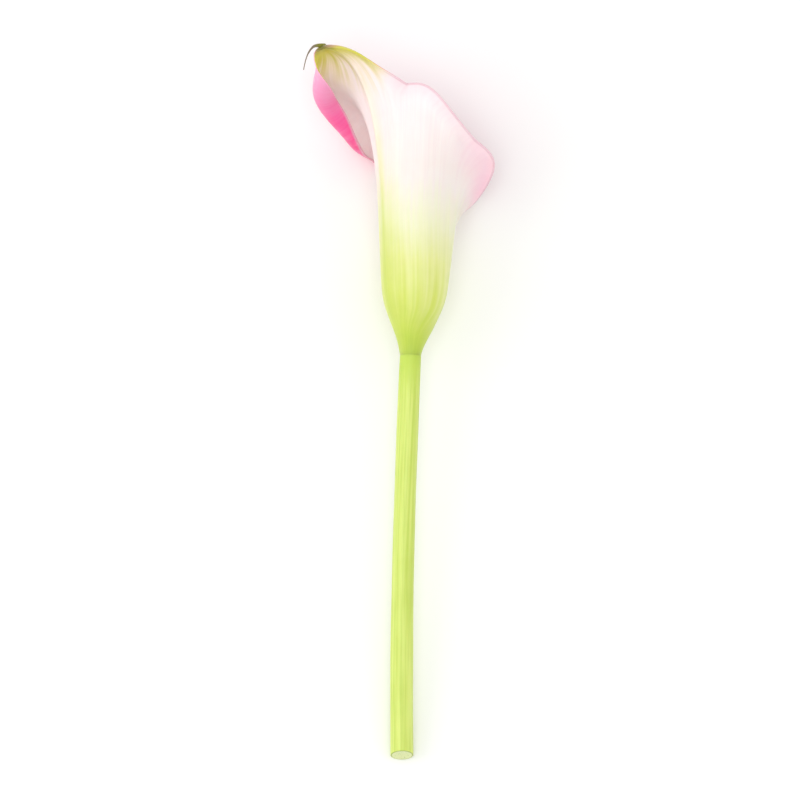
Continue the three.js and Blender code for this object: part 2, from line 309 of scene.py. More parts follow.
def added(name: str, data: bpy.types.ID) -> bpy.types.Object:
    """A new object in the scene that shows a mesh, a light or a camera.

    Args:
        name: the object's name.
        data: the mesh, light or camera.

    Returns:
        The object.
    """
    made = bpy.data.objects.new(name, data)
    bpy.context.scene.collection.objects.link(made)
    return made


@dataclass(frozen=True)
class Surface:
    """Points in the frame's millimetres, in any layout, with faces and point attributes."""

    points: Array
    faces: Array
    fields: dict[Field, Array] = field(default_factory=dict)

    @classmethod
    def of_rings(cls, rings: Array, fibre: Array) -> "Surface":
        """A closed surface from rings, the first and last of them poles, and their fibre values."""
        faces = grid_faces(*rings.shape[:2], ring=True)
        return cls(rings, faces, {Field.FIBRE: fibre})

    def piece(self, name: str, material: bpy.types.Material, slot: Slot) -> bpy.types.Object:
        """Makes the object, closes its seams and poles, and lets it ride on the flower.

        Args:
            name: the piece's name.
            material: its finish.
            slot: not used.

        Returns:
            The object, at the origin, with its place in its mesh.
        """
        mesh = bpy.data.meshes.new(name)
        mesh.from_pydata((self.points.reshape(-1, 3) * MM).tolist(), [], self.faces.tolist())
        for key, values in self.fields.items():
            layer = mesh.attributes.new(key.value, "FLOAT_VECTOR", "POINT")
            layer.data.foreach_set("vector", values.astype(np.float32).ravel())
        work = bmesh.new()
        work.from_mesh(mesh)
        bmesh.ops.remove_doubles(work, verts=work.verts, dist=MERGED)
        bmesh.ops.dissolve_degenerate(work, edges=work.edges, dist=FLAT)
        work.to_mesh(mesh)
        work.free()
        mesh.polygons.foreach_set("use_smooth", np.ones(len(mesh.polygons), bool))
        mesh.materials.append(material)
        made = added(name, mesh)
        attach(made, ROOT)
        LOG.info("%s: %d faces", name, len(mesh.polygons))
        return made


@dataclass(frozen=True)
class Part:
    """What every part of the flower is given."""

    finish: "Finish"
    place: Array  # of the junction of bloom and stem, in the frame's millimetres

    def laid(self, points: Array) -> Array:
        """Points of the bloom's frame, laid down and moved to their place in the frame."""
        return points @ LYING.bloom_to_standing.T @ LYING.standing_to_frame.T + self.place


# ---------------- stem


@dataclass(frozen=True)
class Stalk:
    """The stem's line, its plain radius and its slanted cut, in millimetres."""

    length: float = 120.0
    top_radius: float = 3.2
    cut_radius: float = 3.4
    cut_tilt: float = 25.0  # degrees that the cut face is off square
    cut_shift: float = -2.6
    bow: float = 2.5
    end_turn: float = 0.5
    gap: float = 0.3
    frame_rings: int = 22  # the facets of the stem in the frame
    frame_sides: int = 14

    def plain(self, share: Array, angle: Array) -> Array:
        """The radius, which runs evenly from the top to the cut."""
        return between(self.top_radius, self.cut_radius, share) + 0 * angle

    def grid(self, radius: Radius, shares: Array, sides: int) -> Array:
        """Rings down the stem's line, the last of them on the slant of the cut.

        Args:
            radius: at a share of the length and an angle.
            shares: the places of the rings.
            sides: points on each ring.

        Returns:
            Points, as rings by sides by 3.
        """
        lean = math.radians(LYING.lean)
        down = np.array([-math.sin(lean), 0.0, -math.cos(lean)])
        third = self.length / 3
        path = (
            down * self.gap,
            down * third,
            np.array([self.cut_shift - self.end_turn, -self.bow, -2 * third]),
            np.array([self.cut_shift, 0.0, -self.length]),
        )
        slope = math.tan(math.radians(self.cut_tilt))
        return Bar(path, radius).grid(shares, sides, slope, 1 / self.frame_rings)

    def junction(self) -> Array:
        """Where the bloom leaves the stem in the frame: the frame's stem against this plain one.

        Returns:
            The place, in the frame's millimetres.
        """
        shares = np.linspace(0.0, 1.0, self.frame_rings + 1)
        laid = self.grid(self.plain, shares, self.frame_sides) @ LYING.standing_to_frame.T
        return np.array(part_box("stem")[0]) / MM - laid.reshape(-1, 3).min(0)


@dataclass(frozen=True)
class Stem(Part):
    """The bare stalk's skin, from inside the bloom's base down to its cut, in millimetres."""

    stalk: Stalk = Stalk()
    rings: int = 260
    sides: int = 96
    sunk: float = 0.014  # share of the length that it reaches up into the bloom
    necked_to: float = 0.004  # share of the length at which the neck ends
    neck: float = 2.7  # radius inside the wall of the spathe
    ribs: int = 17
    rib_height: float = 0.045
    rib_depth: float = 0.7  # share of the ribs' height that is the same all along
    rib_change: Waves = ((0.3, 0.0, 11.0, 3.0),)
    drift: Waves = ((0.6, 0.0, 7.0), (0.3, 1.0, 19.0))
    swell: Waves = ((0.035, 0.7, 9.0, 0.0), (0.02, 0.0, 23.0, 2.0))
    ribbed_from: float = 0.06  # share of the length over which the ribs rise
    cap_rings: int = 26
    cap_gathering: float = 0.8
    cap_rounding: float = 0.12
    cap_dish: float = 0.35
    cap_mask: float = 0.02  # that the mask jumps to at the edge of the cut

    def radius(self, share: Array, angle: Array) -> Array:
        """The plain radius, n cosine waves round it that drift and change, and a slow swell.

        Args:
            share: of the length.
            angle: round the stem.

        Returns:
            The radius, which narrows to the neck above the junction.
        """
        ribs = np.cos(self.ribs * angle + ripple(self.drift, share))
        ribs = ribs * (self.rib_depth + ripple(self.rib_change, share, angle))
        relief = self.rib_height * ribs + ripple(self.swell, share, angle)
        relief = relief * smoothstep(0.0, self.ribbed_from, share)
        necked = smoothstep(-self.sunk, self.necked_to, share)
        return between(self.neck, self.stalk.plain(share, angle) + relief, necked)

    def build(self) -> None:
        """The stem with its ribs, its rounded cut edge and its slightly hollow cut face."""
        shares = np.linspace(-self.sunk, 1.0, self.rings)
        body = self.stalk.grid(self.radius, shares, self.sides)
        edge = body[-1]
        centre = edge.mean(0)
        square = unit(np.cross(edge[1] - centre, edge[0] - centre))
        square = -np.sign(square[2]) * square
        inset = np.linspace(0.0, 1.0, self.cap_rings)[1:] ** self.cap_gathering
        reach = np.linalg.norm(edge - centre, axis=1).mean() * inset
        rounded = self.cap_rounding * quarter_round(reach / self.cap_rounding)
        depth = rounded - self.cap_dish * smoothstep(0.0, 1.0, inset)
        cap = centre + (edge - centre) * (1 - inset)[:, None, None] + depth[:, None, None] * square
        rings = poled(np.concatenate([body, cap]))[:-1]  # the cap ends in a pole of its own
        along = np.concatenate([shares[:1], shares, np.ones(len(inset))]) * self.stalk.length
        across = round_angles(self.sides) * self.stalk.top_radius
        on_cut = between(self.cap_mask, 1, inset)
        mask = np.concatenate([np.zeros(len(shares) + 1), on_cut])
        fibre = np.stack(np.broadcast_arrays(along[:, None], across[None, :], mask[:, None]), -1)
        surface = Surface.of_rings(rings @ LYING.standing_to_frame.T + self.place, fibre)
        made = surface.piece("stem_skin", self.finish.material(), Slot.STEM)
        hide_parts("stem")


# ---------------- spathe


@dataclass(frozen=True)
class RimStation:
    """One place on the rim: the crest of the limb and the margin that is curled beyond it."""

    radius: float
    height: float
    lip: float  # degrees between the sheet there and the bloom's axis
    curl_width: float
    curl: float  # degrees


RIM = (
    RimStation(11, 42, 15, 3, 0),
    RimStation(20, 54, 46, 7, 75),
    RimStation(20.5, 62.5, 62, 10, 120),
    RimStation(21, 69, 74, 14, 175),
    RimStation(20, 73.5, 80, 18, 208),
    RimStation(28.5, 82, 84, 16, 235),
    RimStation(26, 90, 94, 3, 45),
    RimStation(15.5, 77, 20, 4, 0),
    RimStation(14, 75.5, 15, 4, 15),
    RimStation(13.5, 68.5, 20, 4, 25),
    RimStation(14.5, 62.5, 30, 4, 25),
    RimStation(18.5, 57.5, 60, 4, 30),
    RimStation(14.5, 43, 25, 3, 10),
)


@dataclass(frozen=True)
class Sheet:
    """The middle of the spathe as a function of turn and level, in millimetres."""

    base_radius: float = 3.0
    base_spread: float = 19.5  # degrees that it opens at, low down
    base_opens: Span = (2.5, 16.0)
    base_softness: float = 1.8
    slopes: Span = (5.0, 4.5)  # degrees that the tube opens at, at the midrib and in front
    throats: Span = (39.0, 27.0)  # heights that the tube ends at, likewise
    throat_turn: float = 0.6
    leave_reach: float = 0.4
    arrive_reach: float = 0.3
    beak_length: float = 8.0
    beak_turn: float = 0.06
    beak_power: float = 1.5
    rim_step: float = 0.03
    least_curl: float = 0.001
    overlap: float = 35.0  # degrees that each flap reaches past the front
    overlap_left: float = 0.3
    slit: float = 6.0
    closes: Span = (5.0, 14.0)
    opens: Span = (15.0, 45.0)
    spiral: float = 1.7
    spiral_top: float = 8.0

    def rim(self, key: str, turn: Array) -> Array:
        """A value of the stations on a Catmull-Rom curve through them, one every 1/6 of a turn.

        Args:
            key: which value.
            turn: the places.

        Returns:
            The value at each place.
        """
        known = np.array([getattr(station, key) for station in RIM], float)
        last = len(known) - 1
        place = (turn + 1) / 2 * last
        index = np.minimum(np.floor(place).astype(int), last - 1)
        a, b, c, d = (known[np.clip(index + shift, 0, last)] for shift in (-1, 0, 1, 2))
        f = place - index
        return b + 0.5 * f * (c - a + f * (2 * a - 5 * b + 4 * c - d + f * (3 * (b - c) + d - a)))

    def tube(self, turn: Array, height: Array) -> Array:
        """Radius and height of the tube: a slope, and a spread between the heights base_opens.

        The spread's part above a height f is s (softplus((h - f) / s) - softplus(-f / s)).

        Args:
            turn: the places across.
            height: the heights.

        Returns:
            A radius and a height for each place.
        """
        front = (1 - np.cos(math.pi * turn)) / 2
        slope = np.tan(between(*np.radians(self.slopes), front))
        soft = self.base_softness
        started, stopped = (
            soft * (softplus((height - start) / soft) - softplus(np.array(-start / soft)))
            for start in self.base_opens
        )
        spread = math.tan(math.radians(self.base_spread)) * (started - stopped)
        return np.stack([self.base_radius + slope * height + spread, height + 0 * turn], -1)

    def crest(self, turn: Array) -> tuple[Array, Array]:
        """The crest in the half plane of a turn, with the beak, and the sheet's direction there.

        The beak is beak_length times exp(-|turn / beak_turn| ^ beak_power), along the direction.

        Args:
            turn: the places across.

        Returns:
            The radii and heights, and the directions.
        """
        lip = np.radians(self.rim("lip", turn))
        direction = np.stack([np.sin(lip), np.cos(lip)], -1)
        beak = self.beak_length * np.exp(-(np.abs(turn / self.beak_turn) ** self.beak_power))
        crest = np.stack([self.rim("radius", turn), self.rim("height", turn)], -1)
        return crest + beak[..., None] * direction, direction

    def profile(self, turn: Array, level: Array) -> Array:
        """Radius and height: the tube up to level 1, then a Bezier from the throat to the crest.

        Args:
            turn: the places across.
            level: the places up, to 2.

        Returns:
            A radius and a height for each place.
        """
        front = smoothstep(self.throat_turn, 1.0, np.abs(turn))
        throat = between(*self.throats, front)
        low = self.tube(turn, throat * np.minimum(level, 1.0))
        start = self.tube(turn, throat)
        leave = unit(self.tube(turn, throat + 1.0) - start)
        crest, arrive = self.crest(turn)
        span = np.linalg.norm(crest - start, axis=-1, keepdims=True)
        inner = (start + leave * self.leave_reach * span, crest - arrive * self.arrive_reach * span)
        limb = bezier((start, *inner, crest), np.clip(level - 1.0, 0, 1)[..., None])
        return np.where((level <= 1.0)[..., None], low, limb)

    def azimuth(self, turn: Array, height: Array) -> Array:
        """The angle round the axis: the flaps stop short at the stem, then cross at the front.

        Args:
            turn: the places across.
            height: the heights.

        Returns:
            The angles, in radians.
        """
        opened = (1 - self.overlap_left) * smoothstep(*self.opens, height)
        closed = smoothstep(*self.closes, height) * (1 - opened)
        return turn * (math.pi + np.radians(-self.slit + (self.overlap + self.slit) * closed))

    def point(self, turn: Array, level: Array) -> Array:
        """A point of the tube or the limb: the profile turned round, with a spiral added.

        Args:
            turn: the places across.
            level: the places up, to 2.

        Returns:
            The points.
        """
        radius, height = np.moveaxis(self.profile(turn, level), -1, 0)
        azimuth = self.azimuth(turn, height)
        away = radius + self.spiral * smoothstep(0, self.spiral_top, height) * azimuth / (2 * math.pi)
        return around_axis(away, azimuth, height)

    def curled(self, turn: Array, share: Array) -> Array:
        """A point of the margin: an arc square to the rim, from the crest at share 0 to the edge.

        Args:
            turn: the places across.
            share: the places along the arc.

        Returns:
            The points.
        """
        top = 2.0 + 0 * turn
        start = self.point(turn, top)
        before = self.point(np.maximum(turn - self.rim_step, -1.0), top)
        after = self.point(np.minimum(turn + self.rim_step, 1.0), top)
        along = unit(after - before)
        out, up = np.moveaxis(self.crest(turn)[1], -1, 0)
        azimuth = self.azimuth(turn, start[..., 2])
        across = around_axis(out, azimuth, up)
        across = unit(across - (across * along).sum(-1, keepdims=True) * along)
        outward = np.cross(along, across)
        angle = np.maximum(np.radians(self.rim("curl", turn)), self.least_curl)
        radius = self.rim("curl_width", turn) / angle
        forth = (radius * np.sin(angle * share))[..., None] * across
        return start + forth + (radius * (1 - np.cos(angle * share)))[..., None] * outward

    def middle(self, turns: Array, levels: Array) -> Array:
        """The whole sheet as rows of points.

        Args:
            turns: the place of each column.
            levels: the place of each row.

        Returns:
            Points, as rows by columns by 3.
        """
        turn, level = np.meshgrid(turns, levels)
        body = self.point(turn, np.minimum(level, 2.0))
        margin = self.curled(turn, np.clip(level - 2.0, 0.0, 1.0))
        return np.where((level <= 2.0)[..., None], body, margin)


@dataclass(frozen=True)
class Spathe(Part):
    """The spathe's skin: both faces of the sheet, with its veins, ridges and rounded margin."""

    sheet: Sheet = Sheet()
    columns: int = 216
    end_columns: int = 5
    end_turn: float = 0.012
    gathering: float = 0.65  # how far the columns are gathered at the midrib
    gathering_power: float = 1.6
    root_rows: int = 6
    root_level: float = -0.05  # that the sheet runs down to, inside the stem's skin
    tube_rows: int = 44
    limb_rows: int = 64
    margin_rows: int = 40
    end_rows: int = 4
    end_share: float = 0.03
    half_thickness: float = 0.45
    half_at_base: float = 0.2
    base_taper: float = 4.0
    half_at_margin: float = 0.3
    margin_taper: float = 18.0
    rounding: float = 0.33
    press_half: float = 0.43  # half the thickness that the table presses up
    relaxing: int = 10  # times that the crest is eased
    relaxed_by: float = 0.5  # share of the way to the mean, each time
    relaxed_rows: Span = (2.0, 14.0)  # rows from the crest between which the easing ends
    waves: Waves = ((0.3, 0.0, 15.0, 0.09), (0.18, 2.0, 27.0, -0.13))
    wave_reach: float = 16.0
    wavy_beside: Span = (0.05, 0.2)  # turns from the midrib
    wavy_from: Span = (44.0, 62.0)  # millimetres up the sheet
    rib_count: int = 34
    rib_height: float = 0.018
    rib_drift: Waves = ((0.5, 0.0, 0.2),)
    inner_ribs: float = 0.5  # share of the ribs' height that the inner face has
    ribbed_inside: Span = (1.0, 5.0)  # millimetres from the edges
    ribbed_from: Span = (2.0, 12.0)  # millimetres up the sheet
    midrib_height: float = 0.32
    midrib_width: float = 0.9
    midrib_from: Span = (25.0, 90.0)
    least_down: float = 0.01  # below the tip, for the angle round it

    def turns(self) -> Array:
        """The turn of each column: gathered at the midrib, and again at the two edges.

        Returns:
            The turns, from -1 to 1.
        """
        even = np.linspace(-1.0, 1.0, self.columns)
        size = np.abs(even)
        mixed = (1 - self.gathering) * size + self.gathering * size**self.gathering_power
        inner = np.sign(even) * mixed * (1 - self.end_turn)
        outer = 1 - self.end_turn * (1 - crowded(self.end_columns))
        return np.concatenate([-outer[::-1], inner, outer])

    def levels(self) -> Array:
        """The level of each row, gathered at the edge of the margin.

        Returns:
            The levels, up to 3.
        """
        ends = (self.root_level, 0, 1, 2, 3 - self.end_share)
        rows = (self.root_rows, self.tube_rows, self.limb_rows, self.margin_rows)
        parts = [np.linspace(*at, endpoint=False) for at in zip(ends, ends[1:], rows)]
        end = 3 - self.end_share * (1 - crowded(self.end_rows))
        return np.concatenate([*parts, ends[-1:], end])

    def relaxed(self, points: Array) -> Array:
        """Eases the crest: each row near it moves towards the mean of its neighbours, in rounds.

        Args:
            points: rows of points.

        Returns:
            The moved points.
        """
        crest = self.root_rows + self.tube_rows + self.limb_rows
        near = np.abs(np.arange(len(points)) - crest)
        weight = self.relaxed_by * (1 - smoothstep(*self.relaxed_rows, near))
        weight[0] = weight[-1] = 0.0
        for _ in range(self.relaxing):
            mean = 0.5 * (np.roll(points, 1, axis=0) + np.roll(points, -1, axis=0))
            points = points + weight[:, None, None] * (mean - points)
        return points

    @staticmethod
    def normals(points: Array) -> Array:
        """The sheet's outward normals: its step across times its step up, at length 1."""
        return unit(np.cross(np.gradient(points, axis=1), np.gradient(points, axis=0)))

    @staticmethod
    def lengths(points: Array, axis: int) -> Array:
        """The length walked from the first point along an axis to each point."""
        steps = np.linalg.norm(np.diff(points, axis=axis), axis=-1)
        return np.concatenate([np.zeros_like(steps.take([0], axis)), np.cumsum(steps, axis)], axis)

    def half(self, rise: Array, edge: Array) -> Array:
        """Half the sheet's thickness, which thins out towards the margin and the base.

        At a distance d from an edge it is h sqrt(1 - (1 - d / r)^2) up to the rounding r, h past it.

        Args:
            rise: the length up from the base.
            edge: the distance to the nearest edge.

        Returns:
            The thickness h, and the rounding's share of it.
        """
        inward, up = smoothstep(0, self.margin_taper, edge), smoothstep(0, self.base_taper, rise)
        full = between(self.half_at_margin, self.half_thickness, inward)
        return between(self.half_at_base, full, up), quarter_round(edge / self.rounding)

    def build(self) -> None:
        """The skin.

        The sheet is moved along its normals by low waves near the margin, pressed on the table, and
        then given its faces at half its thickness to each side. The outer face has cosine ribs, n to
        a turn, and a midrib h exp(-(x / w)^2) high at a distance x. The inner face has lower ribs.
        """
        turns, levels = self.turns(), self.levels()
        points = self.relaxed(self.sheet.middle(turns, levels))
        rise = self.lengths(points, 0)
        around = self.lengths(points, 1)
        edge = np.minimum(rise[-1:] - rise, np.minimum(around, around[:, -1:] - around))
        turn = np.broadcast_to(turns, rise.shape)
        waves = ripple(self.waves, turn, rise) * (1 - smoothstep(0, self.wave_reach, edge))
        waves *= smoothstep(*self.wavy_beside, np.abs(turn)) * smoothstep(*self.wavy_from, rise)
        points = points + waves[..., None] * self.normals(points)
        points = LYING.pressed(points, self.press_half)
        normal = self.normals(points)

        middle = len(turns) // 2
        aside = around - around[:, middle : middle + 1]
        down = rise[-1, middle] - rise
        tip = np.hypot(aside, down)
        fan = np.arctan2(aside, np.maximum(down, self.least_down))
        ribs = np.cos(2 * math.pi * self.rib_count * turn + ripple(self.rib_drift, rise))
        ribs *= smoothstep(*self.ribbed_inside, edge) * smoothstep(*self.ribbed_from, rise)
        ribs *= self.rib_height
        ridge = self.midrib_height * np.exp(-((aside / self.midrib_width) ** 2))
        ridge *= smoothstep(*self.midrib_from, rise)
        half, rounded = self.half(rise, edge)
        outer = points + ((half + ribs + ridge) * rounded)[..., None] * normal
        inner = points - ((half + self.inner_ribs * ribs) * rounded)[..., None] * normal

        count = rise.size
        bottom = np.arange(len(turns) - 1)
        base = np.stack([bottom + 1, bottom, bottom + count, bottom + 1 + count], -1)
        quads = grid_faces(*rise.shape)
        faces = np.concatenate([quads, quads[:, ::-1] + count, base])
        on_sheet = np.stack([turn, rise, edge], -1)
        by_tip = [np.stack([tip, fan, np.full_like(tip, side)], -1) for side in (0.0, 1.0)]
        fields = {
            Field.PLACE: np.concatenate([on_sheet, on_sheet]),
            Field.TIP: np.concatenate(by_tip),
        }
        surface = Surface(self.laid(np.concatenate([outer, inner])), faces, fields)
        made = surface.piece("spathe_skin", self.finish.material(), Slot.SPATHE)
        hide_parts("spathe")


@dataclass(frozen=True)
class Awn(Part):
    """The dried thread that the midrib ends in, in millimetres."""

    sheet: Sheet = Sheet()
    root_radius: float = 0.8
    tip_radius: float = 0.13
    taper: float = 1.7  # the power of the way left by which the radius falls
    sunk: float = 2.6  # that its root reaches back inside the sheet
    out: float = 5.0
    rise: float = 1.0
    drop: float = 7.0
    bends: Span = (0.3, 0.8)  # shares of the way out of its two bends
    rings: int = 70
    sides: int = 20
    dried: Span = (0.25, 0.6)
    wrinkles: Waves = ((0.14, 0.0, 9.0, 3.0), (0.07, 0.0, -16.0, 5.0))
    wandering: Span = (0.3, 1.0)
    wander: Waves = ((0.0, 0.0, 0.0), (0.12, 0.0, 11.0), (0.12, 1.0, 17.0))  # along X, Y and Z

    def radius(self, share: Array, angle: Array) -> Array:
        """The radius, which falls as a power of the way left, with wrinkles where it has dried."""
        plain = between(self.tip_radius, self.root_radius, (1 - share) ** self.taper)
        return plain * (1 + smoothstep(*self.dried, share) * ripple(self.wrinkles, share, angle))

    def build(self) -> None:
        """The thread: a bar on a Bezier curve, out of the tip of the midrib and down.

        It wanders off the curve by sine waves that grow towards its end.
        """
        middle = np.array([0.0])
        back = self.sunk / self.sheet.rim("curl_width", middle)[0]
        root, tip = (self.sheet.curled(middle, np.array([end]))[0] for end in (1.0 - back, 1.0))
        steps = ((self.bends[0], self.rise), (self.bends[1], self.rise), (1.0, -self.drop))
        path = (root, *(tip + np.array([share * self.out, 0.0, up]) for share, up in steps))
        shares = np.linspace(0.0, 1.0, self.rings)
        wander = np.stack([ripple((wave,), shares) for wave in self.wander], -1)
        wander *= smoothstep(*self.wandering, shares)[:, None]
        rings = poled(Bar(path, self.radius).grid(shares, self.sides) + wander[:, None])
        along = np.concatenate([[0.0], shares, [1.0]])[:, None]
        fibre = np.broadcast_arrays(along * self.out, round_angles(self.sides)[None], along)
        surface = Surface.of_rings(self.laid(rings), np.stack(fibre, -1))
        surface.piece("awn_thread", self.finish.material(), Slot.SPATHE)


# ---------------- spadix


class Zone(Enum):
    """The spadix's two zones, by the frame's nodes."""

    PISTILS = "spadix_pistils"
    STAMENS = "spadix_stamens"


@dataclass(frozen=True)
class Spadix(Part):
    """A zone of the spike in the spathe, in millimetres up from the junction."""

    zone: Zone = Zone.PISTILS
    neck_top: float = 8.0
    florets_from: float = 1.0
    pistil_top: float = 12.0
    stamen_top: float = 47.0
    pistil_radii: Span = (2.0, 2.7)  # from the bottom up
    stamen_radii: Span = (3.1, 1.9)
    rounded_over: Span = (0.9, 1.02)  # shares of the stamens over which their top rounds off
    crowded_over: Span = (0.86, 1.0)  # shares of the stamens over which their relief fades
    zone_gap: float = 0.3
    relief: float = 0.45
    stigma_height: float = 0.16
    stigma_on: Span = (0.8, 0.95)  # values of a floret's wave between which its stigma rises
    pit_depth: float = 0.1
    pit_on: Span = (0.965, 1.0)
    pore_relief: float = 0.13
    pores_on: Span = (0.05, 0.5)
    pore_shade: float = 0.4
    florets_around: int = 7
    floret_rise: float = 2.6
    columns: int = 196
    row_height: float = 0.16
    grain_count: int = 420
    grain_radius: Span = (0.07, 0.15)
    grain_lift: float = 0.3  # share of its radius that a grain's middle is above the surface
    grain_ends: Span = (1.0, 2.0)  # millimetres at the bottom and the top without grains
    seed: int = 11

    @property
    def span(self) -> Span:
        """The zone's lowest and highest height."""
        stamens = (self.pistil_top + self.zone_gap, self.stamen_top)
        return stamens if self.zone is Zone.STAMENS else (0.0, self.pistil_top)

    def florets(self, height: Array, angle: Array, finer: int = 1) -> Array:
        """Two crossed waves, k times as fine, whose highs are domes: cos(k n a) cos(2 pi k h / p)."""
        upwards = np.cos(2 * math.pi * finer * height / self.floret_rise)
        return np.cos(finer * self.florets_around * angle) * upwards

    def radius(self, height: Array, angle: Array) -> Array:
        """The radius: the zone's body, the domes of its florets, and finer marks on each dome.

        Args:
            height: the heights.
            angle: the angles.

        Returns:
            The radius at each place.
        """
        wave = self.florets(height, angle)
        dome = self.relief * np.sqrt(np.maximum(wave, 0))
        if self.zone is Zone.PISTILS:
            body = between(*self.pistil_radii, smoothstep(0, self.neck_top, height))
            stigma = self.stigma_height * smoothstep(*self.stigma_on, wave)
            marks = stigma - self.pit_depth * smoothstep(*self.pit_on, wave)
            return body + smoothstep(self.florets_from, self.neck_top, height) * (dome + marks)
        bottom, top = self.span
        share = (height - bottom) / (top - bottom)
        body = between(*self.stamen_radii, share**2)
        pores = self.pore_relief * self.florets(height, angle, 3) * smoothstep(*self.pores_on, wave)
        rounding = np.sqrt(np.maximum(1 - smoothstep(*self.rounded_over, share), 0))
        return (body + (dome + pores) * (1 - smoothstep(*self.crowded_over, share))) * rounding

    def build(self) -> None:
        """The zone: its radius turned round the bloom's axis, and a pole at both ends."""
        zone = self.zone
        low, high = self.span
        heights = np.linspace(low, high, round((high - low) / self.row_height) + 1)
        height, angle = np.meshgrid(heights, round_angles(self.columns), indexing="ij")
        rings = poled(around_axis(self.radius(height, angle), angle, height))
        wave = self.florets(height, angle)
        if zone is Zone.STAMENS:
            wave = wave + self.pore_shade * self.florets(height, angle, 3)
        fibre = np.stack([height, angle, wave], -1)
        fibre = np.concatenate([fibre[:1], fibre, fibre[-1:]])
        slot = Slot.PISTILS if zone is Zone.PISTILS else Slot.POLLEN
        surface = Surface.of_rings(self.laid(rings), fibre)
        made = surface.piece(zone.value + "_skin", self.finish.material(), slot)
        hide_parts(zone.value)

    def pollen(self) -> None:
        """Loose grains of pollen on the zone: eight-sided balls half sunk in the surface."""
        draw = np.random.default_rng(self.seed)
        low, high = self.span
        height = draw.uniform(low + self.grain_ends[0], high - self.grain_ends[1], self.grain_count)
        angle = draw.uniform(0, 2 * math.pi, self.grain_count)
        size = draw.uniform(*self.grain_radius, self.grain_count)
        away = self.radius(height, angle) + self.grain_lift * size
        ball = np.concatenate([np.eye(3), -np.eye(3)])
        corners = around_axis(away, angle, height)[:, None] + size[:, None, None] * ball[None]
        upper = [(0, 1, 2), (1, 3, 2), (3, 4, 2), (4, 0, 2)]
        lower = [(b, a, 5) for a, b, _ in upper]
        offsets = len(ball) * np.arange(self.grain_count)[:, None, None]
        faces = (np.array(upper + lower)[None] + offsets).reshape(-1, 3)
        fibre = np.repeat(np.stack([height, angle, np.ones_like(height)], -1), len(ball), axis=0)
        surface = Surface(self.laid(corners), faces, {Field.FIBRE: fibre})
        surface.piece("pollen_grains", self.finish.material(), Slot.POLLEN)


# ---------------- shader nodes


def paint(red: int, green: int, blue: int) -> Colour:
    """A colour from its screen values, 0 to 255, in the linear values that the shader takes."""
    shares = (value / 255 for value in (red, green, blue))
    return *(s / 12.92 if s <= 0.04045 else ((s + 0.055) / 1.055) ** 2.4 for s in shares), 1.0


class Blend(Enum):
    """How one colour is laid on another."""

    OVER = "MIX"
    MULTIPLY = "MULTIPLY"


class Measure(Enum):
    """What a wash on the spathe goes by."""

    TURN = auto()
    BESIDE = auto()  # the turn without its sign
    RISE = auto()  # millimetres from the base
    EDGE = auto()  # millimetres from the margin
    TIP = auto()  # millimetres from the tip
    OUTWARD = auto()  # 1 on the outer face and 0 on the inner one
    VEINS = auto()
    BANDS = auto()  # broader veins
    FANS = auto()  # veins that spread from the tip


TURN, BESIDE, RISE, EDGE, TIP, OUTWARD, VEINS, BANDS, FANS = Measure
Measures = tuple[tuple[Measure | float, ...], ...]  # with two values where it is eased


@dataclass(frozen=True)
class Wash:
    """A colour laid on by a share, times measures: as they are, or eased between two values."""

    colour: Colour
    share: float
    measures: Measures


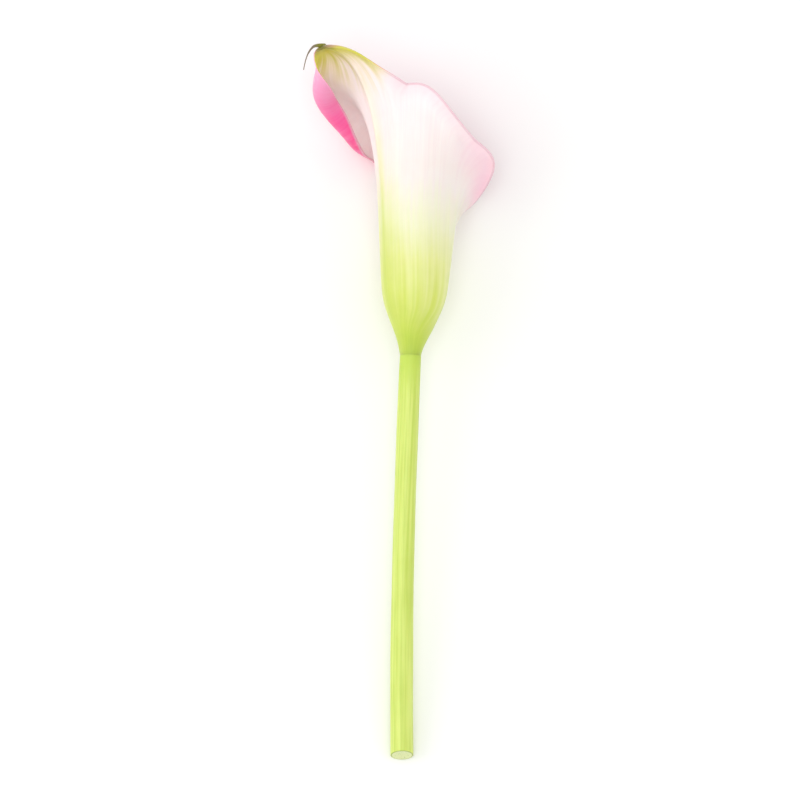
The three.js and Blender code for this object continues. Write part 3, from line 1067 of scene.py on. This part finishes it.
@dataclass(frozen=True)
class Graph:
    """Adds nodes to a node tree and joins them."""

    tree: bpy.types.NodeTree

    def node(self, kind: str, inputs: Values, **settings: object) -> bpy.types.Node:
        """Adds a node.

        Args:
            kind: its type.
            inputs: a socket or a value for each input, by name or number.
            **settings: the node's own properties.

        Returns:
            The node.
        """
        made = self.tree.nodes.new(kind)
        for key, value in settings.items():
            setattr(made, key, value)
        for key, value in inputs.items():
            if isinstance(value, bpy.types.NodeSocket):
                self.tree.links.new(value, made.inputs[key])
            else:
                made.inputs[key].default_value = value
        return made

    def math(self, operation: str, *values: Socket | float) -> Socket:
        """One sum of values."""
        return self.node("ShaderNodeMath", dict(enumerate(values)), operation=operation).outputs[0]

    def product(self, *values: Socket | float) -> Socket:
        """All the values multiplied."""
        return reduce(lambda one, other: self.math("MULTIPLY", one, other), values)

    def mixed(self, first: Socket, second: Socket, share: float) -> Socket:
        """The first value by the share, and the second by the rest."""
        return self.math("ADD", self.product(first, share), self.product(second, 1 - share))

    def ease(self, value: Socket, low: float, high: float) -> Socket:
        """Smoothly 0 to 1 as the value goes from low to high, or 1 to 0 where low is the higher."""
        inputs = {"Value": value, "From Min": low, "From Max": high}
        return self.node("ShaderNodeMapRange", inputs, interpolation_type="SMOOTHSTEP").outputs[0]

    def blend(self, share: object, under: object, over: object, way: Blend = Blend.OVER) -> Socket:
        """The colour under, with the colour over laid on it by a share."""
        settings = {"data_type": "RGBA", "blend_type": way.value, "clamp_factor": True}
        return self.node("ShaderNodeMix", {0: share, 6: under, 7: over}, **settings).outputs[2]

    def washed(self, colour: Socket, washes: Sequence[Wash], known: dict[Measure, Socket]) -> Socket:
        """A colour with washes laid on it, one after another.

        Args:
            colour: the first one.
            washes: in their order.
            known: the measures that they go by.

        Returns:
            The colour after the last.
        """
        for wash in washes:
            read = ((known[measure], ends) for measure, *ends in wash.measures)
            shares = [self.ease(value, *ends) if ends else value for value, ends in read]
            colour = self.blend(self.product(*shares, wash.share), colour, wash.colour)
        return colour

    def ramp(self, value: Socket, stops: Ramp) -> Socket:
        """A colour that changes with a value from 0 to 1, through the stops.

        Args:
            value: the value.
            stops: the colours at values of their own.

        Returns:
            The colour.
        """
        made = self.node("ShaderNodeValToRGB", {0: value})
        elements = made.color_ramp.elements
        while len(elements) < len(stops):
            elements.new(0.5)
        for element, (position, _) in zip(elements, stops):
            element.position = position
        for element, (_, colour) in zip(elements, stops):
            element.color = colour
        return made.outputs[0]

    def noise(self, vector: Socket, scale: float, detail: float) -> Socket:
        """Noise from 0 to 1 at places given by a vector."""
        inputs = {"Vector": vector, "Scale": scale, "Detail": detail}
        return self.node("ShaderNodeTexNoise", inputs).outputs["Fac"]

    def cells(self, vector: Socket, scale: Socket | float) -> Socket:
        """The distance to the middle of the nearest of many cells."""
        inputs = {"Vector": vector, "Scale": scale}
        return self.node("ShaderNodeTexVoronoi", inputs).outputs["Distance"]

    def vector(self, x: Socket, y: Socket, z: float = 0.0) -> Socket:
        """A vector from its parts."""
        return self.node("ShaderNodeCombineXYZ", {0: x, 1: y, 2: z}).outputs[0]

    def place(self) -> Socket:
        """The place on the piece, in metres."""
        return self.node("ShaderNodeTexCoord", {}).outputs["Object"]

    def attribute(self, key: Field) -> tuple[Socket, Socket, Socket]:
        """The three numbers of a point attribute."""
        read = self.node("ShaderNodeAttribute", {}, attribute_name=key.value).outputs["Vector"]
        return tuple(self.node("ShaderNodeSeparateXYZ", {0: read}).outputs)

    def group(self, effect: "Effect", inputs: Values) -> bpy.types.NodeOutputs:
        """The outputs of an effect's group, placed with values of its own."""
        return self.node("ShaderNodeGroup", inputs, node_tree=effect.tree()).outputs

    def fibres(self, along: Socket, across: Socket, spacing: float, stretch: float) -> object:
        """The outputs of fibres, from two places, their spacing and how much longer they are."""
        inputs = {"Along": along, "Across": across, "Spacing": spacing, "Stretch": stretch}
        return self.group(FIBRES, inputs)


@dataclass(frozen=True)
class Effect:
    """A shader node group that several finishes place. It is built once, when first asked for."""

    name: str = "effect"
    takes: Sockets = ()  # each one's name, kind and value
    gives: Sockets = ()  # each one's name and kind

    def tree(self) -> bpy.types.NodeTree:
        """The group, with its named inputs and outputs.

        Returns:
            The node group.
        """
        known = bpy.data.node_groups.get(self.name)
        if known:
            return known
        made = bpy.data.node_groups.new(self.name, "ShaderNodeTree")
        for name, kind, value in self.takes:
            made.interface.new_socket(name, in_out="INPUT", socket_type=kind).default_value = value
        for name, kind in self.gives:
            made.interface.new_socket(name, in_out="OUTPUT", socket_type=kind)
        graph = Graph(made)
        entry = graph.node("NodeGroupInput", {})
        graph.node("NodeGroupOutput", self.work(graph, entry.outputs))
        return made

    def work(self, graph: Graph, given: bpy.types.NodeOutputs) -> Values:
        """The values of the outputs, worked out from the inputs."""
        raise NotImplementedError


FLOAT = "NodeSocketFloat"
COLOUR = "NodeSocketColor"


@dataclass(frozen=True)
class Fibres(Effect):
    """Fine lines that run along a piece and wander a little across it."""

    name: str = "plant_fibres"
    takes: Sockets = tuple((name, FLOAT, 1.0) for name in ("Along", "Across", "Spacing", "Stretch"))
    gives: Sockets = (("Lines", FLOAT), ("Height", FLOAT))
    finer: float = 2.7  # times that the second set is finer than the first
    apart: float = 4.0  # between the two sets in the noise
    details: Span = (2.0, 3.0)  # of the two sets
    coarse_shares: Span = (0.65, 0.6)  # of the first set, in the lines and in the height
    contrast: Span = (0.36, 0.64)

    def work(self, graph: Graph, given: bpy.types.NodeOutputs) -> Values:
        """Noise that is stretched along the fibres, at two spacings.

        Args:
            graph: of the group.
            given: its inputs.

        Returns:
            The outputs' values.
        """
        across = graph.math("DIVIDE", given["Across"], given["Spacing"])
        reach = graph.product(given["Spacing"], given["Stretch"])
        along = graph.math("DIVIDE", given["Along"], reach)
        coarse = graph.noise(graph.vector(across, along), 1.0, self.details[0])
        fine_place = graph.vector(graph.product(across, self.finer), along, self.apart)
        fine = graph.noise(fine_place, 1.0, self.details[1])
        mixed, height = (graph.mixed(coarse, fine, share) for share in self.coarse_shares)
        return {"Lines": graph.ease(mixed, *self.contrast), "Height": height}


@dataclass(frozen=True)
class Skin(Effect):
    """The cells of a living skin, as a fine relief, and its cloudy differences in depth."""

    name: str = "living_skin"
    takes: Sockets = (("Colour", COLOUR, (1.0,) * 4), ("Cloud", FLOAT, 0.1), ("Cell size", FLOAT, 1.0))
    gives: Sockets = (("Colour", COLOUR), ("Height", FLOAT), ("Cloud", FLOAT))
    cloud_scale: float = 160.0
    cloud_detail: float = 4.0
    clouded: Span = (0.35, 0.75)

    def work(self, graph: Graph, given: bpy.types.NodeOutputs) -> Values:
        """Cells from the distance to their middles, and clouds that deepen the colour.

        Args:
            graph: of the group.
            given: its inputs.

        Returns:
            The outputs' values.
        """
        place = graph.place()
        cells = graph.cells(place, graph.math("DIVIDE", 1 / MM, given["Cell size"]))
        cloud = graph.noise(place, self.cloud_scale, self.cloud_detail)
        deep = graph.blend(1.0, given["Colour"], given["Colour"], Blend.MULTIPLY)
        share = graph.product(graph.ease(cloud, *self.clouded), given["Cloud"])
        height = graph.math("SUBTRACT", 1.0, cells)
        return {"Colour": graph.blend(share, given["Colour"], deep), "Height": height, "Cloud": cloud}


FIBRES = Fibres()
SKIN = Skin()


# ---------------- finishes


@dataclass(frozen=True)
class Finish:
    """What every finish has: a skin's gloss, its depth and the height of its relief."""

    name: str = "finish"
    roughness: float = 0.42
    rougher: float = 0.12  # added where the clouds are thick
    subsurface: float = 0.35
    subsurface_radius: Colour = (1.0, 0.75, 0.65)
    subsurface_depth: float = 1.8 * MM
    sheen: float = 0.0
    cloud: float = 0.1
    cell_size: float = 0.25
    cell_height: float = 0.35  # of the cells' relief against the fibres'
    relief: float = 0.02 * MM
    strength: float = 0.5

    def colour(self, graph: Graph) -> Look:
        """The colour all over, and the height of the fibres' relief."""
        raise NotImplementedError

    def material(self) -> bpy.types.Material:
        """The material: its colour goes through the skin's clouds, and its bump is cells and fibres.

        Returns:
            The material.
        """
        made = bpy.data.materials.new(self.name)
        made.use_nodes = True
        made.node_tree.nodes.clear()
        graph = Graph(made.node_tree)
        colour, lines = self.colour(graph)
        skin = graph.group(SKIN, {"Colour": colour, "Cloud": self.cloud, "Cell size": self.cell_size})
        height = graph.math("ADD", graph.product(skin["Height"], self.cell_height), lines)
        relief = {"Strength": self.strength, "Distance": self.relief, "Height": height}
        inputs = {
            "Base Color": skin["Colour"],
            "Roughness": graph.math("ADD", self.roughness, graph.product(skin["Cloud"], self.rougher)),
            "Normal": graph.node("ShaderNodeBump", relief).outputs[0],
            "Subsurface Weight": self.subsurface,
            "Subsurface Radius": self.subsurface_radius,
            "Subsurface Scale": self.subsurface_depth,
            "Sheen Weight": self.sheen,
        }
        shader = graph.node("ShaderNodeBsdfPrincipled", inputs)
        graph.node("ShaderNodeOutputMaterial", {"Surface": shader.outputs[0]})
        return made


@dataclass(frozen=True)
class SpatheFinish(Finish):
    """Pale pink outside and magenta inside, green at the base and olive at the tip."""

    name: str = "spathe_skin"
    roughness: float = 0.36
    sheen: float = 0.08
    subsurface: float = 0.75
    subsurface_radius: Colour = (1.0, 0.85, 0.8)
    subsurface_depth: float = 3.0 * MM
    length: float = 110.0  # millimetres that the two rows of colours span
    outside: Ramp = (
        (0.00, paint(178, 204, 66)),
        (0.08, paint(196, 216, 80)),
        (0.18, paint(212, 225, 100)),
        (0.28, paint(228, 233, 142)),
        (0.38, paint(241, 241, 198)),
        (0.50, paint(250, 236, 226)),
        (0.70, paint(250, 231, 229)),
        (1.00, paint(248, 225, 228)),
    )
    inside: Ramp = (
        (0.00, paint(196, 214, 96)),
        (0.22, paint(214, 196, 110)),
        (0.36, paint(196, 84, 114)),
        (0.52, paint(184, 24, 96)),
        (0.75, paint(240, 44, 124)),
        (1.00, paint(254, 74, 150)),
    )
    corner_pink: Colour = paint(247, 180, 204)
    # painted light: a pale pink that lightens the hollow under the hood, where the curled margin
    # shades it
    hollow_painted_light: Colour = paint(255, 232, 232)
    blush: Colour = paint(253, 172, 206)
    # painted shade: a grey pink line along the margin, for the margin seen edge on in shade
    rim_shade_line: Colour = paint(206, 164, 176)
    tip_olive: Colour = paint(112, 108, 26)
    tip_green: Colour = paint(192, 188, 66)
    # green of the midrib and its flanks: partly the flower's own colour, partly painted shade on the
    # tube's edge that turns away
    midrib_green_and_shade: Colour = paint(196, 212, 84)
    # pale streaks for the tube: partly the flower's own streaks, partly a painted highlight for its
    # sheen
    pale_streak_and_sheen: Colour = paint(250, 250, 196)
    vein_pink: Colour = paint(214, 120, 150)
    turn_width: float = 36.0  # millimetres that a turn of 1 counts as across the veins
    veins: Span = (0.8, 45.0)  # spacing and stretch
    bands: Span = (2.6, 30.0)
    fans: Span = (0.17, 180.0)
    uneven: float = 0.035  # share of the length by which the veins shift the colours
    high: Measures = ((RISE, 42.0, 62.0), (TIP, 16.0, 34.0))
    fore: Measures = ((TURN, 0.5, 0.8), (EDGE, 16.0, 2.0))
    outer_washes: tuple[Wash, ...] = (
        # pale bands down the tube: partly the flower's own streaks, partly painted highlight
        Wash(pale_streak_and_sheen, 0.32, ((BANDS,), (RISE, 6.0, 20.0), (RISE, 58.0, 34.0))),
        # broad green beside the midrib low on the tube: partly the flower's own, partly painted shade
        # on the tube's left edge as it lies
        Wash(midrib_green_and_shade, 0.55, ((BESIDE, 0.26, 0.04), (RISE, 72.0, 30.0))),
        Wash(midrib_green_and_shade, 0.5, ((BESIDE, 0.05, 0.0), (RISE, 96.0, 40.0))),
        # painted light in the shaded hollow under the hood, beside the midrib
        Wash(hollow_painted_light, 0.75, ((TURN, -0.05, -0.18), (RISE, 46.0, 64.0))),
        Wash(corner_pink, 0.6, (*fore, *high, (RISE, 82.0, 62.0))),
        Wash(corner_pink, 0.3, ((EDGE, 6.0, 0.0), *high)),
        Wash(vein_pink, 0.06, ((VEINS,), *high)),
    )
    inner_washes: tuple[Wash, ...] = (
        Wash(blush, 0.35, ((EDGE, 4.0, 16.0),)),
        Wash(blush, 0.8, ((TIP, 34.0, 10.0),)),
        Wash(blush, 0.18, ((VEINS,),)),
    )
    washes: tuple[Wash, ...] = (
        # painted shade: the grey line along the margin, away from the base and the tip
        Wash(rim_shade_line, 0.75, ((EDGE, 0.9, 0.3), (RISE, 38.0, 50.0), (TIP, 16.0, 34.0))),
        Wash(tip_green, 0.85, ((FANS,), (OUTWARD,), (TIP, 30.0, 8.0))),
    )
    ridge_along: Span = (31.0, 15.0)  # millimetres from the tip
    ridge_outside: Span = (12.0, 3.0)  # millimetres from the margin
    ridge_inside: Span = (2.4, 0.8)
    ridge_beside: Span = (0.0, 0.03)  # turns that the ridge's inner face starts at
    ridge_tip: Span = (15.0, 5.0)  # millimetres from the tip
    olive_from: Span = (7.0, 0.5)

    def colour(self, graph: Graph) -> Look:
        """Colours up the length, then the veins, the margins and the tip laid on them.

        Args:
            graph: of the material.

        Returns:
            The colour, and the height of the relief.
        """
        turn, rise, edge = graph.attribute(Field.PLACE)
        tip, fan, face = graph.attribute(Field.TIP)
        across = graph.product(turn, self.turn_width)
        veins = graph.fibres(rise, across, *self.veins)
        known = {TURN: turn, RISE: rise, EDGE: edge, TIP: tip, VEINS: veins["Lines"]}
        known[BESIDE] = graph.math("ABSOLUTE", turn)
        known[OUTWARD] = graph.math("SUBTRACT", 1.0, face)
        known[BANDS] = graph.fibres(rise, across, *self.bands)["Lines"]
        known[FANS] = graph.fibres(tip, fan, *self.fans)["Lines"]
        shift = graph.product(graph.math("SUBTRACT", veins["Lines"], 0.5), self.uneven)
        up = graph.math("ADD", graph.math("DIVIDE", rise, self.length), shift)
        outer = graph.washed(graph.ramp(up, self.outside), self.outer_washes, known)
        inner = graph.washed(graph.ramp(up, self.inside), self.inner_washes, known)
        colour = graph.washed(graph.blend(face, outer, inner), self.washes, known)
        colour = graph.blend(self.ridge(graph, known), colour, self.tip_green)
        return graph.blend(graph.ease(tip, *self.olive_from), colour, self.tip_olive), veins["Height"]

    def ridge(self, graph: Graph, known: dict[Measure, Socket]) -> Socket:
        """The share of green near the tip: broad outside, and a thin line inside the upper margin.

        Args:
            graph: of the material.
            known: the measures.

        Returns:
            The share.
        """
        tip, edge = known[TIP], known[EDGE]
        along = graph.ease(tip, *self.ridge_along)
        beside = graph.product(graph.ease(edge, *self.ridge_outside), along)
        broad = graph.math("MAXIMUM", beside, graph.ease(tip, *self.ridge_tip))
        upper = graph.ease(known[TURN], *self.ridge_beside)
        thin = graph.product(graph.ease(edge, *self.ridge_inside), along, upper)
        return graph.math("MAXIMUM", graph.product(broad, known[OUTWARD]), thin)


@dataclass(frozen=True)
class StemFinish(Finish):
    """Pale yellow green with fine lengthwise fibres, and a wet, paler cut."""

    name: str = "stem_skin"
    roughness: float = 0.38
    light: Colour = paint(214, 228, 122)
    shade: Colour = paint(192, 211, 90)
    cut: Colour = paint(222, 230, 170)
    cut_dots: Colour = paint(150, 176, 84)
    cut_edge: Colour = paint(138, 160, 60)
    joined: Colour = paint(190, 213, 80)
    joined_over: float = 16.0  # millimetres below the bloom that take its base's colour
    fibres: Span = (0.7, 60.0)  # spacing and stretch
    dots_scale: float = 1500.0
    dots: Span = (0.3, 0.14)  # of the distance to a cell's middle, between which a dot starts
    dots_share: float = 0.8
    edge_mask: Span = (0.2, 0.04)
    smooth_mask: Span = (0.05, 0.02)
    cut_mask: Span = (0.02, 0.05)

    def colour(self, graph: Graph) -> Look:
        """Fibres in two greens, and bundles of vessels as dots on the cut face.

        Args:
            graph: of the material.

        Returns:
            The colour, and the height of the relief.
        """
        along, across, cut = graph.attribute(Field.FIBRE)
        fibres = graph.fibres(along, across, *self.fibres)
        side = graph.blend(fibres["Lines"], self.light, self.shade)
        side = graph.blend(graph.ease(along, self.joined_over, 0.0), side, self.joined)
        dots = graph.ease(graph.cells(graph.place(), self.dots_scale), *self.dots)
        face = graph.blend(graph.product(dots, self.dots_share), self.cut, self.cut_dots)
        face = graph.blend(graph.ease(cut, *self.edge_mask), face, self.cut_edge)
        relief = graph.product(fibres["Height"], graph.ease(cut, *self.smooth_mask))
        return graph.blend(graph.ease(cut, *self.cut_mask), side, face), relief


@dataclass(frozen=True)
class AwnFinish(Finish):
    """Olive green where it leaves the tip, then dried to a grey brown thread."""

    name: str = "awn_thread"
    roughness: float = 0.6
    subsurface: float = 0.05
    green: Colour = paint(128, 126, 30)
    dried: Colour = paint(150, 136, 112)
    dark: Colour = paint(84, 70, 52)
    fibres: Span = (0.5, 4.0)  # spacing and stretch
    dried_from: Span = (0.22, 0.5)  # shares of the length

    def colour(self, graph: Graph) -> Look:
        """From green to dried along its length, with darker wrinkles.

        Args:
            graph: of the material.

        Returns:
            The colour, and the height of the relief.
        """
        along, across, share = graph.attribute(Field.FIBRE)
        fibres = graph.fibres(along, across, *self.fibres)
        dry = graph.blend(fibres["Lines"], self.dried, self.dark)
        return graph.blend(graph.ease(share, *self.dried_from), self.green, dry), fibres["Height"]


@dataclass(frozen=True)
class BeadFinish(Finish):
    """Packed florets: a colour on the domes, one between them and one on their tops."""

    name: str = "beads"
    roughness: float = 0.5
    dome: Colour = paint(200, 214, 130)
    between: Colour = paint(140, 164, 70)
    top: Colour = paint(232, 234, 190)
    dome_on: Span = (-0.2, 0.35)
    top_from: float = 0.8
    top_to: float = 0.97

    def colour(self, graph: Graph) -> Look:
        """By the florets' wave: deep between the domes, bright on top.

        Args:
            graph: of the material.

        Returns:
            The colour, and the height of the relief.
        """
        _, _, wave = graph.attribute(Field.FIBRE)
        colour = graph.blend(graph.ease(wave, *self.dome_on), self.between, self.dome)
        return graph.blend(graph.ease(wave, self.top_from, self.top_to), colour, self.top), 0.0


PISTIL_FINISH = BeadFinish(name="pistil_beads")
STAMEN_FINISH = BeadFinish(
    name="stamen_grains",
    roughness=0.8,
    cell_size=0.18,
    relief=0.06 * MM,
    dome=paint(246, 204, 66),
    between=paint(222, 160, 40),
    top=paint(252, 226, 116),
    top_from=0.5,
)
POLLEN_FINISH = BeadFinish(
    name="pollen_powder", roughness=0.9, dome=paint(250, 222, 120), top=paint(252, 228, 140)
)


# ---------------- studio


def direction(azimuth: float, elevation: float) -> Array:
    """From the flower towards a viewer: azimuth 0 is the side of -Y and 90 that of +X, in degrees."""
    a, e = math.radians(azimuth), math.radians(elevation)
    return np.array([math.sin(a) * math.cos(e), -math.cos(a) * math.cos(e), math.sin(e)])


def aimed(made: bpy.types.Object, aim: Array, away: Array, distance: float) -> None:
    """Puts a lamp or a camera at a distance from a point and turns it to look there.

    Args:
        made: the lamp or the camera.
        aim: the point.
        away: the direction from the point to it.
        distance: in metres.
    """
    made.location = aim + away * distance
    made.rotation_mode = "QUATERNION"
    made.rotation_quaternion = Vector(away).to_track_quat("Z", "Y")


@dataclass(frozen=True)
class Lamp:
    """A soft square light, aimed at the flower's middle. Lengths are in metres."""

    name: str
    azimuth: float
    elevation: float
    distance: float
    size: float
    watts: float

    def build(self, aim: Array) -> None:
        """Puts the light in the scene.

        Args:
            aim: the flower's middle.
        """
        data = bpy.data.lights.new(self.name, "AREA")
        data.size = self.size
        data.energy = self.watts
        aimed(added(self.name, data), aim, direction(self.azimuth, self.elevation), self.distance)


@dataclass(frozen=True)
class Studio:
    """A pale floor, soft lights and the camera, in metres and degrees."""

    azimuth: float = 0.0
    elevation: float = 78.0
    lens: float = 150.0
    sensor: float = 36.0
    clip_start: float = 0.01
    fill: float = 0.9  # share of the square picture that the flower fills
    floor_size: float = 6.0
    floor: Colour = paint(246, 246, 245)
    floor_roughness: float = 0.7
    sky: Colour = (1.0, 1.0, 1.0, 1.0)
    sky_strength: float = 0.8
    lamps: tuple[Lamp, ...] = (
        Lamp("key", -8.0, 78.0, 1.1, 0.6, 3.2),
        Lamp("side", -100.0, 28.0, 1.0, 1.0, 3.0),
        Lamp("fill", 110.0, 50.0, 1.3, 1.4, 1.4),
    )

    def build(self) -> None:
        """Makes the floor, the light and the camera."""
        low, high = (np.array(corner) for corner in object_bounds())
        aim = (low + high) / 2
        self.make_floor()
        self.make_sky()
        for lamp in self.lamps:
            lamp.build(aim)
        self.make_camera(low, high, aim)

    def make_floor(self) -> None:
        """A square that the flower lies on."""
        half = self.floor_size / 2
        mesh = bpy.data.meshes.new("floor")
        corners = [(-half, -half, 0), (half, -half, 0), (half, half, 0), (-half, half, 0)]
        mesh.from_pydata(corners, [], [(0, 1, 2, 3)])
        made = bpy.data.materials.new("floor")
        made.use_nodes = True
        shader = made.node_tree.nodes["Principled BSDF"]
        shader.inputs["Base Color"].default_value = self.floor
        shader.inputs["Roughness"].default_value = self.floor_roughness
        mesh.materials.append(made)
        floor = added("floor", mesh)
        floor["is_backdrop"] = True

    def make_sky(self) -> None:
        """Even white light from all round."""
        world = bpy.data.worlds.new("studio")
        world.use_nodes = True
        back = world.node_tree.nodes["Background"]
        back.inputs["Color"].default_value = self.sky
        back.inputs["Strength"].default_value = self.sky_strength
        bpy.context.scene.world = world
        bpy.context.scene.view_settings.view_transform = "Standard"

    def make_camera(self, low: Array, high: Array, aim: Array) -> None:
        """A long lens, as far away as lets the flower's box fill its share of the picture.

        Args:
            low: the flower's lowest corner.
            high: its highest.
            aim: the point that the camera looks at.
        """
        away = direction(self.azimuth, self.elevation)
        right = unit(np.cross(np.array([0.0, 0.0, 1.0]), away))
        up = np.cross(away, right)
        picks = np.array(np.meshgrid([0, 1], [0, 1], [0, 1])).reshape(3, -1).T
        corners = np.where(picks, high, low) - aim
        half = max(np.abs(corners @ right).max(), np.abs(corners @ up).max())
        data = bpy.data.cameras.new("camera")
        data.lens = self.lens
        data.sensor_width = self.sensor
        data.clip_start = self.clip_start
        camera = added("camera", data)
        aimed(camera, aim, away, half / self.fill * self.lens / (self.sensor / 2))
        bpy.context.scene.camera = camera


# ---------------- the whole flower


def main() -> None:
    """Builds the pieces in order, then the studio."""
    logging.basicConfig(level=logging.INFO, format="%(name)s: %(message)s")
    place = Stalk().junction()
    Stem(StemFinish(), place).build()
    Spathe(SpatheFinish(), place).build()
    Awn(AwnFinish(), place).build()
    Spadix(PISTIL_FINISH, place, Zone.PISTILS).build()
    Spadix(STAMEN_FINISH, place, Zone.STAMENS).build()
    Spadix(POLLEN_FINISH, place, Zone.STAMENS).pollen()
    Studio().build()


if __name__ == "__main__":
    main()
